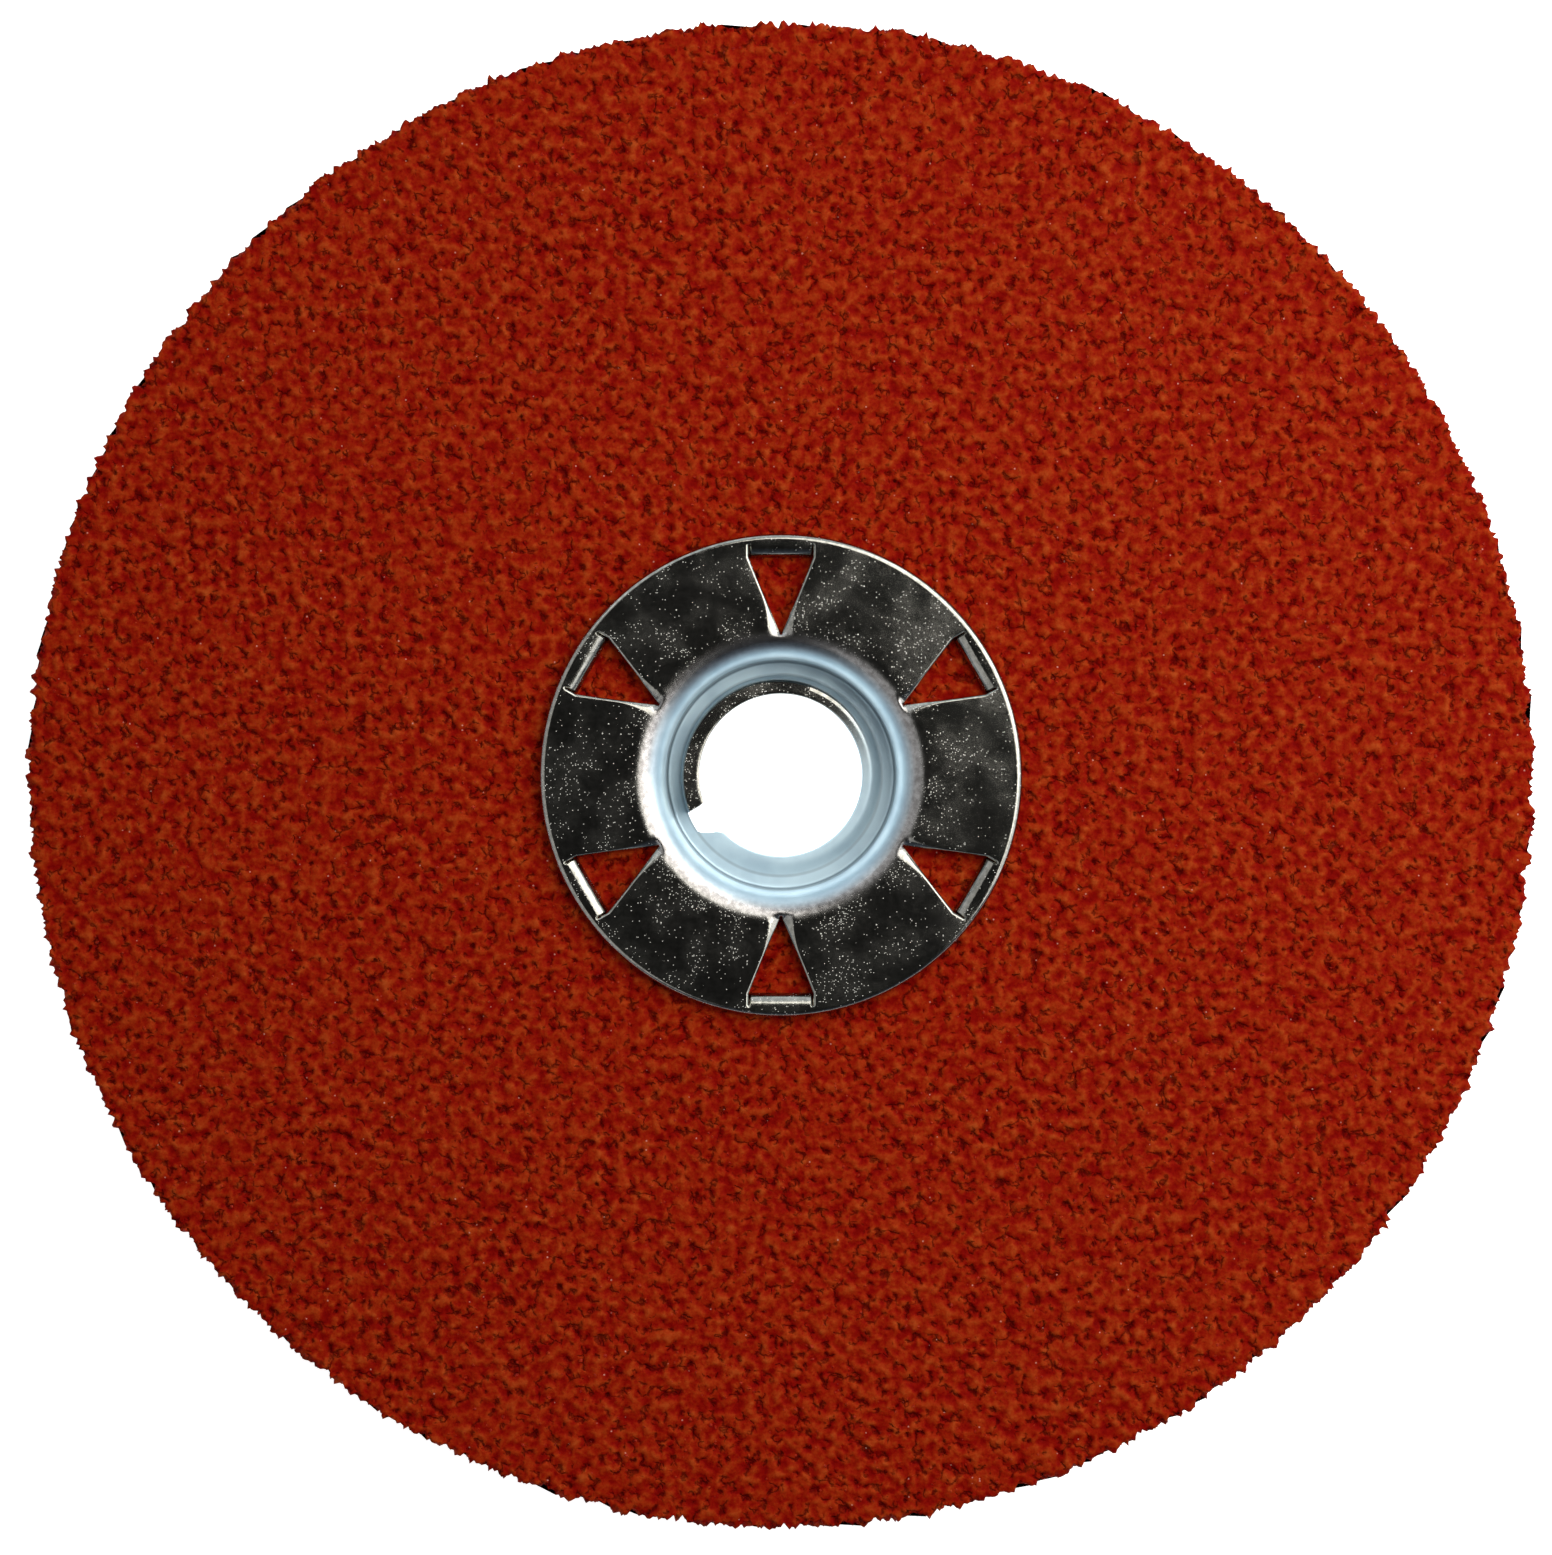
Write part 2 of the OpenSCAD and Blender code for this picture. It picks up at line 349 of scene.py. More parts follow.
def coatMaterial(name, look, reliefShare, specular, roughness):
    material, tree, shader, where = newMaterial(name)
    shader.inputs["Specular IOR Level"].default_value = specular
    shape = placeGroup(tree, reliefGroup, {"Vector": where})
    # painted highlight: sparse pinkish-white dots, also made a little smoother
    glint = placeGroup(tree, sparksGroup, {"Vector": where, "Cell": relief["glint"] * mm, "Reach": 0.16,
                                           "Share": 0.06}).outputs["Mask"]
    mottle = placeGroup(tree, mottleGroup, {"Vector": where, "Size": look["mottle"] * mm, "Detail": 3.0})
    # tone: random mottle, plus the lumps' height, which paints light on their tops and shade between them
    tone = plus(tree, times(tree, shape.outputs["Relief"], reliefShare),
                times(tree, mottle.outputs["Value"], 1 - reliefShare))
    colour = colourRamp(tree, tone, look["stops"])
    # painted shade: the crevices and holes are darkened in the colour
    colour = mixColour(tree, times(tree, shape.outputs["Pit"], 0.80), colour, look["pit"])
    # the painted highlight goes into the colour
    colour = mixColour(tree, times(tree, glint, 0.5), colour, look["glint"])
    tree.links.new(colour, shader.inputs["Base Color"])
    tree.links.new(minus(tree, roughness, times(tree, glint, 0.3)), shader.inputs["Roughness"])
    height = minus(tree, times(tree, tone, 0.55), shape.outputs["Pit"])
    bump = addNode(tree, "ShaderNodeBump", {"Height": height, "Strength": 0.6, "Distance": look["bump"] * mm})
    tree.links.new(bump.outputs["Normal"], shader.inputs["Normal"])
    return material


sizeResin = coatMaterial("redSizeResin", coatLook, 0.58, 0.02, 0.62)
paler = [(place, tuple(min(1.0, part * 1.12) for part in colour)) for place, colour in coatLook["stops"]]
crystalLook = dict(coatLook, stops=paler, mottle=0.12, bump=0.03)
crystalCoat = coatMaterial("coatedCrystal", crystalLook, 0.35, 0.08, 0.45)

makeLook = {"dark": (0.060, 0.008, 0.003), "light": (0.130, 0.022, 0.007), "size": 0.35}
makeResin, tree, shader, where = newMaterial("darkMakeResin", Roughness=0.5)
mottle = placeGroup(tree, mottleGroup, {"Vector": where, "Size": makeLook["size"] * mm, "Detail": 4.0})
colour = mixColour(tree, mottle.outputs["Value"], makeLook["dark"], makeLook["light"])
tree.links.new(colour, shader.inputs["Base Color"])
bump = addNode(tree, "ShaderNodeBump",
               {"Height": mottle.outputs["Value"], "Strength": 0.5, "Distance": 0.05 * mm})
tree.links.new(bump.outputs["Normal"], shader.inputs["Normal"])

fibreLook = {
    "dark": (0.115, 0.030, 0.014), "light": (0.235, 0.075, 0.036), "fleck": (0.33, 0.15, 0.09), "strand": 2.2,
    "cloud": 14.0,
}
fibreMaterial, tree, shader, where = newMaterial("vulcanisedFibre", Roughness=0.55)
stretched = addNode(tree, "ShaderNodeMapping",
                    {"Vector": where, "Scale": (0.35, 3.0, 5.0), "Rotation": (0.0, 0.0, 0.4)})
strands = noise(tree, stretched.outputs[0], 1 / (fibreLook["strand"] * mm), 5.0, 0.62).outputs[0]
cloud = noise(tree, where, 1 / (fibreLook["cloud"] * mm), 3.0).outputs[0]
mottle = placeGroup(tree, mottleGroup, {"Vector": where, "Size": 0.4 * mm, "Detail": 3.0})
tone = plus(tree, times(tree, smoothStep(tree, strands, 0.3, 0.7), 0.65), times(tree, cloud, 0.35))
colour = mixColour(tree, tone, fibreLook["dark"], fibreLook["light"])
colour = mixColour(tree, calc(tree, "MULTIPLY", mottle.outputs["Specks"], 0.35), colour, fibreLook["fleck"])
tree.links.new(colour, shader.inputs["Base Color"])
tree.links.new(calc(tree, "ADD", 0.46, calc(tree, "MULTIPLY", tone, 0.2)), shader.inputs["Roughness"])
bump = addNode(tree, "ShaderNodeBump", {"Height": tone, "Strength": 0.5, "Distance": 0.06 * mm})
tree.links.new(bump.outputs["Normal"], shader.inputs["Normal"])

zincLook = {
    "flange": (0.40, 0.39, 0.355), "flangeDark": (0.22, 0.22, 0.195), "speck": (0.60, 0.59, 0.55),
    # the last colour on the next line is that of the painted shade lines in the cup
    "cup": (0.54, 0.69, 0.76), "cupDark": (0.44, 0.58, 0.66), "paintedShade": (0.12, 0.15, 0.17),
    "shoulder": (0.40, 0.39, 0.385), "shoulderDark": (0.20, 0.19, 0.185),
    "blueR": 10.9, "blueFade": 0.6, "mirrorR": 12.1, "mirrorFade": 0.5,  # where one zone of finish and tone ends, mm
    "satinR": 9.95, "satinFade": 0.35, "lipR": 8.55, "lipZ": 2.0, "cornerR": 9.70, "footR": 8.62,
    "cloud": 3.2, "mottle": 0.5, "haloR": (12.4, 14.2), "haloShare": 0.18, "speckShare": 0.025,
    "cloudShare": 0.18,
    "fineCell": 0.115, "fineReach": 0.42, "bigCell": 0.26, "bigReach": 0.27, "bigShare": 0.35,
    # width and strength of the painted shade lines at the cup's corner and at the lip's foot
    "cornerLine": 0.17, "cornerDark": 0.75, "footLine": 0.20, "footDark": 0.35,
    "cupMetal": 0.28, "satinRough": 0.42, "shoulderRough": 0.26, "brightRough": 0.11, "hazeRough": 0.07,
    "speckRough": 0.40, "dimple": 0.015,
}
zinc, tree, shader, where = newMaterial("zincPlate")
radius = lengthOf(tree, flatOf(tree, where))
level = addNode(tree, "ShaderNodeSeparateXYZ", {0: where}).outputs["Z"]


def outwardOf(name):  # 0 inside a radius of zincLook and 1 outside it
    middle, fade = zincLook[name + "R"], zincLook[name + "Fade"]
    return smoothStep(tree, radius, (middle - fade) * mm, (middle + fade) * mm)


def lineAt(name):  # a thin dark line round the cup: painted shade
    away = calc(tree, "ABSOLUTE", minus(tree, radius, zincLook[name + "R"] * mm))
    return smoothStep(tree, away, 0.03 * mm, zincLook[name + "Line"] * mm, zincLook[name + "Dark"], 0.0)


outer, neutral = outwardOf("mirror"), outwardOf("blue")
onLip = smoothStep(tree, level, (zincLook["lipZ"] - 0.2) * mm, (zincLook["lipZ"] + 0.3) * mm)
nearHole = smoothStep(tree, radius, (zincLook["lipR"] - 0.25) * mm, zincLook["lipR"] * mm, 1.0, 0.0)
lip = times(tree, onLip, nearHole)
mirror = calc(tree, "MAXIMUM", outer, lip)  # where the plate is bright and smooth
cloud = noise(tree, where, 1 / (zincLook["cloud"] * mm), 3.0).outputs[0]
soft = smoothStep(tree, cloud, 0.35, 0.65)
mottle = placeGroup(tree, mottleGroup, {"Vector": where, "Size": zincLook["mottle"] * mm, "Detail": 4.0})

haloFrom, haloTo = zincLook["haloR"]
halo = smoothStep(tree, radius, haloFrom * mm, haloTo * mm, zincLook["haloShare"], 0.0)
halo = times(tree, halo, smoothStep(tree, cloud, 0.35, 0.6))
share = times(tree, smoothStep(tree, cloud, 0.46, 0.72), zincLook["cloudShare"])
share = plus(tree, plus(tree, zincLook["speckShare"], share), halo)
fineSpeck = placeGroup(tree, sparksGroup, {"Vector": where, "Cell": zincLook["fineCell"] * mm,
                                           "Reach": zincLook["fineReach"], "Share": share}).outputs["Mask"]
bigSpeck = placeGroup(tree, sparksGroup, {
    "Vector": where, "Cell": zincLook["bigCell"] * mm, "Reach": zincLook["bigReach"],
    "Share": times(tree, share, zincLook["bigShare"])}).outputs["Mask"]
speck = times(tree, calc(tree, "MAXIMUM", fineSpeck, bigSpeck), mirror)

flangeTone = mixColour(tree, mottle.outputs["Value"], zincLook["flangeDark"], zincLook["flange"])
# the cup's light teal is partly painted light, standing in for light bounced round inside the cup; its satin
# roughness is the finish, the cloud gives random tone
cupTone = mixColour(tree, soft, zincLook["cupDark"], zincLook["cup"])
shoulderTone = mixColour(tree, mottle.outputs["Value"], zincLook["shoulderDark"], zincLook["shoulder"])
tone = mixColour(tree, neutral, cupTone, shoulderTone)
# painted shade where the cup's wall meets its floor and round the lip's foot
paintedShade = plus(tree, lineAt("corner"), lineAt("foot"))
tone = mixColour(tree, paintedShade, tone, zincLook["paintedShade"])  # painted shade in the corner and at the foot of the cup
tone = mixColour(tree, mirror, tone, flangeTone)
tree.links.new(mixColour(tree, speck, tone, zincLook["speck"]), shader.inputs["Base Color"])

metal = plus(tree, zincLook["cupMetal"], times(tree, outwardOf("satin"), 1 - zincLook["cupMetal"]))
tree.links.new(calc(tree, "MAXIMUM", metal, mirror), shader.inputs["Metallic"])
smoother = times(tree, neutral, zincLook["satinRough"] - zincLook["shoulderRough"])
satin = minus(tree, zincLook["satinRough"], smoother)
bright = plus(tree, zincLook["brightRough"], times(tree, soft, zincLook["hazeRough"]))
rough = plus(tree, times(tree, bright, mirror), times(tree, satin, minus(tree, 1.0, mirror)))
tree.links.new(plus(tree, rough, times(tree, speck, zincLook["speckRough"])), shader.inputs["Roughness"])
dimple = plus(tree, speck, times(tree, mottle.outputs["Value"], 0.35))
bump = addNode(tree, "ShaderNodeBump",
               {"Height": dimple, "Strength": 0.5, "Distance": zincLook["dimple"] * mm})
tree.links.new(bump.outputs["Normal"], shader.inputs["Normal"])
print("materials ready")


# the red size coat, in four quarters
def coatQuarter(number):
    topZ, floorZ = coat["meanZ"], grainLow.z
    edgeR, step = coat["edgeR"], math.pi / 2
    start = number * step
    points, lift, rim = [], [], []

    def addRow(r, z, columns, raised):
        row = list(range(len(points), len(points) + columns + 1))
        for i in range(columns + 1):
            a = start + step * i / columns
            points.append((r * math.cos(a), r * math.sin(a), z))
            lift.append(raised)
            rim.append(min(1.0, max(0.0, 1 - (edgeR - r) / coat["rimFade"])))
        return row

    lastR = edgeR - coat["edgeStart"]
    radii = np.linspace(coat["innerR"], lastR, int((lastR - coat["innerR"]) / coat["cell"]) + 1)
    tops = [addRow(r, topZ, round(r * step / coat["cell"]), 1.0) for r in radii]
    columns = len(tops[-1]) - 1
    height = topZ - floorZ
    for r, z, raised in coat["edgeRows"]:
        tops.append(addRow(edgeR + r, floorZ + height * z, columns, raised))
    floors = [addRow(radii[0], floorZ, len(tops[0]) - 1, 0.0)]
    floors += [addRow(r, floorZ, coat["floorColumns"], 0.0) for r in radii[1:]]
    for i in range(len(rim) - sum(len(row) for row in floors), len(rim)):
        rim[i] = 0.0
    faces = []
    for a, b in zip(tops, tops[1:]):
        faces += zipRows(a, b)
    faces += [tuple(reversed(f)) for a, b in zip(floors, floors[1:]) for f in zipRows(a, b)]
    faces += [tuple(reversed(f)) for f in zipRows(floors[-1], tops[-1])]
    faces += zipRows(floors[0], tops[0])
    for end in (0, -1):  # the two radial walls
        upper, lower = [row[end] for row in tops], [row[end] for row in floors]
        wall = zipRows(lower, upper[:len(lower)])
        wall += [(lower[-1], a, b) for a, b in zip(upper[len(lower) - 1:], upper[len(lower):])]
        faces += wall if end == -1 else [tuple(reversed(f)) for f in wall]
    obj = makeObject(f"sizeCoatQuarter_{number + 1}", points, faces)
    for name, values in (("lift", lift), ("rim", rim)):
        obj.data.attributes.new(name, "FLOAT", "POINT").data.foreach_set("value", values)
    return obj


coatTree, groupIn, groupOut = newTree(
    "coatShape", "GeometryNodeTree",
    {"Geometry": ("NodeSocketGeometry", None), "Rim wander": ("NodeSocketFloat", 0.5 * mm)},
    {"Geometry": "NodeSocketGeometry"})
position = coatTree.nodes.new("GeometryNodeInputPosition").outputs[0]
parts = addNode(coatTree, "ShaderNodeSeparateXYZ", {0: position})
lift = addNode(coatTree, "GeometryNodeInputNamedAttribute", {"Name": "lift"}, data_type="FLOAT").outputs[0]
rim = addNode(coatTree, "GeometryNodeInputNamedAttribute", {"Name": "rim"}, data_type="FLOAT").outputs[0]
surface, radius = coatHeight(coatTree, position)
climb = times(coatTree, lift, minus(coatTree, surface, parts.outputs["Z"]))
newZ = plus(coatTree, parts.outputs["Z"], climb)
coarse = minus(coatTree, noise(coatTree, position, 1 / (coat["coarseCell"] * mm), 2.0).outputs[0], 0.5)
fine = minus(coatTree, noise(coatTree, position, 1 / (coat["fineCell"] * mm), 1.0).outputs[0], 0.5)
wander = plus(coatTree, times(coatTree, coarse, coat["coarseShare"]),
              times(coatTree, fine, coat["fineShare"]))
wander = times(coatTree, times(coatTree, wander, rim), groupIn.outputs["Rim wander"])
factor = plus(coatTree, 1.0, calc(coatTree, "DIVIDE", wander, radius))
moved = addNode(coatTree, "ShaderNodeCombineXYZ", {
    "X": times(coatTree, parts.outputs["X"], factor), "Y": times(coatTree, parts.outputs["Y"], factor),
    "Z": newZ})
shaped = addNode(coatTree, "GeometryNodeSetPosition",
                 {"Geometry": groupIn.outputs["Geometry"], "Position": moved.outputs[0]})
real = addNode(coatTree, "GeometryNodeRealizeInstances", {"Geometry": shaped.outputs[0]})
painted = addNode(coatTree, "GeometryNodeSetMaterial", {"Geometry": real.outputs[0], "Material": sizeResin})
coatTree.links.new(painted.outputs[0], groupOut.inputs["Geometry"])


def sharpenRadialWalls(mesh):
    co = np.zeros(len(mesh.vertices) * 3)
    mesh.vertices.foreach_get("co", co)
    co = co.reshape(-1, 3)
    onWall = np.minimum(abs(co[:, 0]), abs(co[:, 1])) < 1e-7
    ends = np.zeros(len(mesh.edges) * 2, int)
    mesh.edges.foreach_get("vertices", ends)
    ends = ends.reshape(-1, 2)
    mesh.edges.foreach_set("use_edge_sharp", onWall[ends[:, 0]] & onWall[ends[:, 1]])


for number in range(4):
    quarter = coatQuarter(number)
    runTree(quarter, coatTree, {"Rim wander": coat["rimWander"] * mm})
    sharpenRadialWalls(quarter.data)
    for name in ("lift", "rim"):
        quarter.data.attributes.remove(quarter.data.attributes[name])
    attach(quarter, root)
    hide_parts("size_coat")
print("size coat ready:", len(quarter.data.polygons), "faces in a quarter")


# grain crystals that stand out of the coat
crystals = {
    "density": 0.30, "small": 0.10, "large": 0.24, "buried": 0.55, "seed": 7, "innerR": 12.3, "outerR": 62.7,
    "rimR": 63.50, "rimLow": 4.18, "rimHigh": 4.72, "segments": 180, "squash": (0.65, 0.8, 0.55),
    "swell": (1.35, 1.2, 1.1), "headroom": 1.35,
}

ringPoints, ringFaces = [], []
segments = crystals["segments"]
turns = [2 * math.pi * i / segments for i in range(segments)]
for r, z in ((crystals["innerR"], coat["meanZ"]), (crystals["outerR"], coat["meanZ"]),
             (crystals["rimR"], crystals["rimHigh"]), (crystals["rimR"], crystals["rimLow"])):
    ringPoints += [(r * math.cos(a), r * math.sin(a), z) for a in turns]
for row in (0, 2):
    for i in range(segments):
        j, near, far = (i + 1) % segments, row * segments, (row + 1) * segments
        ringFaces.append((near + i, far + i, far + j, near + j))
grains = makeObject("grainCrystals", ringPoints, ringFaces, smooth=False)

grainTree, groupIn, groupOut = newTree(
    "grainScatter", "GeometryNodeTree",
    {"Geometry": ("NodeSocketGeometry", None), "Density": ("NodeSocketFloat", 1.0),
     "Small": ("NodeSocketFloat", 0.1 * mm), "Large": ("NodeSocketFloat", 0.2 * mm),
     "Buried": ("NodeSocketFloat", 0.5), "Seed": ("NodeSocketInt", 1)},
    {"Geometry": "NodeSocketGeometry"})
scatter = addNode(grainTree, "GeometryNodeDistributePointsOnFaces", {
    "Mesh": groupIn.outputs["Geometry"], "Density": groupIn.outputs["Density"],
    "Seed": groupIn.outputs["Seed"]})
size = addNode(grainTree, "FunctionNodeRandomValue", {}, data_type="FLOAT")
grainTree.links.new(groupIn.outputs["Small"], size.inputs[2])
grainTree.links.new(groupIn.outputs["Large"], size.inputs[3])
grainTree.links.new(groupIn.outputs["Seed"], size.inputs["Seed"])
keep = addNode(grainTree, "GeometryNodeStoreNamedAttribute",
               {"Geometry": scatter.outputs["Points"], "Name": "size"}, data_type="FLOAT", domain="POINT")
grainTree.links.new(size.outputs[1], keep.inputs["Value"])
sizeOf = addNode(grainTree, "GeometryNodeInputNamedAttribute", {"Name": "size"}, data_type="FLOAT").outputs[0]
position = grainTree.nodes.new("GeometryNodeInputPosition").outputs[0]
parts = addNode(grainTree, "ShaderNodeSeparateXYZ", {0: position})
surface, radius = coatHeight(grainTree, position)
onTop = calc(grainTree, "LESS_THAN", radius, (crystals["rimR"] - 0.15) * mm)
sunk = minus(grainTree, surface, times(grainTree, sizeOf, groupIn.outputs["Buried"]))
underFlange = calc(grainTree, "LESS_THAN", radius, coat["underFlangeR"] * mm)
lowering = times(grainTree, underFlange, (coat["topLimit"] - coat["underFlangeZ"]) * mm)
ceiling = minus(grainTree, minus(grainTree, coat["topLimit"] * mm, lowering),
                times(grainTree, sizeOf, crystals["headroom"]))
sunk = calc(grainTree, "MINIMUM", sunk, ceiling)
climb = times(grainTree, onTop, minus(grainTree, sunk, parts.outputs["Z"]))
newZ = plus(grainTree, parts.outputs["Z"], climb)
moved = addNode(grainTree, "ShaderNodeCombineXYZ",
                {"X": parts.outputs["X"], "Y": parts.outputs["Y"], "Z": newZ})
placed = addNode(grainTree, "GeometryNodeSetPosition",
                 {"Geometry": keep.outputs[0], "Position": moved.outputs[0]})
shape = addNode(grainTree, "GeometryNodeMeshIcoSphere", {"Radius": 1.0, "Subdivisions": 1})
turn = addNode(grainTree, "FunctionNodeRandomValue",
               {0: (0.0, 0.0, 0.0), 1: (6.283, 6.283, 6.283)}, data_type="FLOAT_VECTOR")  # any way round
grainTree.links.new(groupIn.outputs["Seed"], turn.inputs["Seed"])
stretch = addNode(grainTree, "FunctionNodeRandomValue",
                  {0: crystals["squash"], 1: crystals["swell"]}, data_type="FLOAT_VECTOR")
grainTree.links.new(groupIn.outputs["Seed"], stretch.inputs["Seed"])
scale = addNode(grainTree, "ShaderNodeVectorMath", {0: stretch.outputs[0]}, operation="SCALE")
grainTree.links.new(sizeOf, scale.inputs["Scale"])
strewn = addNode(grainTree, "GeometryNodeInstanceOnPoints", {
    "Points": placed.outputs[0], "Instance": shape.outputs[0], "Rotation": turn.outputs[0],
    "Scale": scale.outputs[0]})
real = addNode(grainTree, "GeometryNodeRealizeInstances", {"Geometry": strewn.outputs[0]})
painted = addNode(grainTree, "GeometryNodeSetMaterial",
                  {"Geometry": real.outputs[0], "Material": crystalCoat})
grainTree.links.new(painted.outputs[0], groupOut.inputs["Geometry"])
runTree(grains, grainTree, {
    "Density": crystals["density"] / mm ** 2, "Small": crystals["small"] * mm,
    "Large": crystals["large"] * mm, "Buried": crystals["buried"], "Seed": crystals["seed"]})
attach(grains, root)
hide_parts("abrasive_grain")
print("grain crystals ready:", len(grains.data.polygons), "faces")


# the hub: one pressing, worked out as a top and an underside with the same faces
hub = {
    "sheet": 1.0, "flangeR": 20.4, "edgeR": 0.45, "flatR": 19.88, "seamR": 11.70, "shoulderAxisR": 12.50,
    "shoulderR": 2.75, "cornerR": 0.30,
    "windows": 6, "firstWindow": 30, "tipR": 11.92, "rootR": 18.4, "tangHalf": 2.66, "slitHalf": 2.74,
    "bendR": 1.1, "bendAxisR": 19.5, "slitEnd": 0.08, "rootTrim": 0.02, "tipHalf": 1.6, "tipEndR": 23.3,
    "roll": 0.16, "tipRoll": 0.95, "tipRound": 0.10, "rollReach": 3.4, "rollDepth": 0.38, "rollPower": 1.7,
    "fadeStart": 0.02, "fadeLength": 0.40, "outlineStep": 0.13, "gridStep": 0.42, "gridTurn": 1.6,
    "holeR": 6.95, "footR": 8.60, "crestHigh": 8.47, "crestLow": 7.28, "crestRound": 0.12, "rise": 2.155,
    "lipThin": 0.72, "lipStart": 202, "notch": 12, "weld": 0.002, "sharpAngle": 38,
}
topZ = hubHigh.z
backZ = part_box("fibre_backing")[0].z / mm
underZ = topZ - hub["sheet"]
upperBendZ, lowerBendZ = underZ - 0.1, backZ + 0.1
lipColumns = 360 - hub["notch"]


def closeSheet(top, under, faces, openEdge):  # openEdge says where another sheet goes on
    count = len(top)
    used = {edge: True for face in faces for edge in zip(face, face[1:] + face[:1])}  # a dict keeps the order
    walls = [(b, a, a + count, b + count) for a, b in used
             if (b, a) not in used and not openEdge(top[a], top[b])]
    backs = [tuple(i + count for i in reversed(face)) for face in faces]
    return list(top) + list(under), list(faces) + backs + walls


def windowOutline():  # one window with the two slits beside its tang, in the tang's own frame
    tip, root, axis = hub["tipR"], hub["rootR"] + hub["rootTrim"], hub["bendAxisR"]
    slitEnd = axis - hub["slitEnd"]
    inner, outer, r = hub["tangHalf"], hub["slitHalf"], hub["tipRound"]
    slope = math.atan2(outer, root - tip)
    half = []
    centre = tip + r
    for i in range(7):  # rounded point
        a = math.pi - (math.pi / 2 - slope) * i / 6
        half.append((centre + r * math.cos(a), r * math.sin(a)))
    last = Vector(half[-1])
    shoulder = Vector((root, outer))
    steps = int((shoulder - last).length / hub["outlineStep"])
    half += [tuple(last.lerp(shoulder, i / steps)) for i in range(1, steps + 1)]
    half += [(root + (slitEnd - root) * i / 8, outer) for i in range(1, 9)]
    middle, small = (inner + outer) / 2, (outer - inner) / 2
    half += [(slitEnd + small * math.sin(a), middle + small * math.cos(a))
             for a in (math.pi / 4, math.pi / 2, math.pi * 3 / 4)]
    half += [(slitEnd + (root - slitEnd) * i / 8, inner) for i in range(0, 9)]
    half += [(root, inner * (1 - i / 20)) for i in range(1, 20)]
    lower = [(x, -y) for x, y in reversed(half[1:])]
    return half + [(root, 0.0)] + lower


def distanceTo(line, points):  # from each point to the nearest place on a closed line
    a, b = np.array(line), np.roll(np.array(line), -1, axis=0)
    best = np.full(len(points), 1e9)
    for p, q in zip(a, b):
        along = np.clip(((points - p) @ (q - p)) / max(1e-12, (q - p) @ (q - p)), 0, 1)
        best = np.minimum(best, np.linalg.norm(points - (p + along[:, None] * (q - p)), axis=1))
    return best


def insideOf(line, points):
    inside = np.zeros(len(points), bool)
    x, y = points[:, 0], points[:, 1]
    for (ax, ay), (bx, by) in zip(line, line[1:] + line[:1]):
        if ay != by:
            cross = (ay > y) != (by > y)
            inside ^= cross & (x < (bx - ax) * (y - ay) / (by - ay) + ax)
    return inside


def rollRadius(x):  # the cut edges are rounded most near a window's inner point
    near = np.clip(1 - (x - hub["tipR"]) / hub["rollReach"], 0, 1)
    return hub["roll"] + (hub["tipRoll"] - hub["roll"]) * near ** 2


def rollDrop(d, x):  # how far a rounded edge has dropped at a distance from the cut
    r = float(rollRadius(x))
    deep = hub["roll"] + (r - hub["roll"]) * hub["rollDepth"]
    return deep * (1 - min(max(d, 0.0), r) / r) ** hub["rollPower"]


def shoulderPoint(r, inset):  # a place on the flange or shoulder, inset below the top surface
    big, axis = hub["shoulderR"], hub["shoulderAxisR"]
    sine = max(0.0, axis - r) / big
    cosine = math.sqrt(1 - sine * sine)
    return r + inset * sine, topZ - big + (big - inset) * cosine


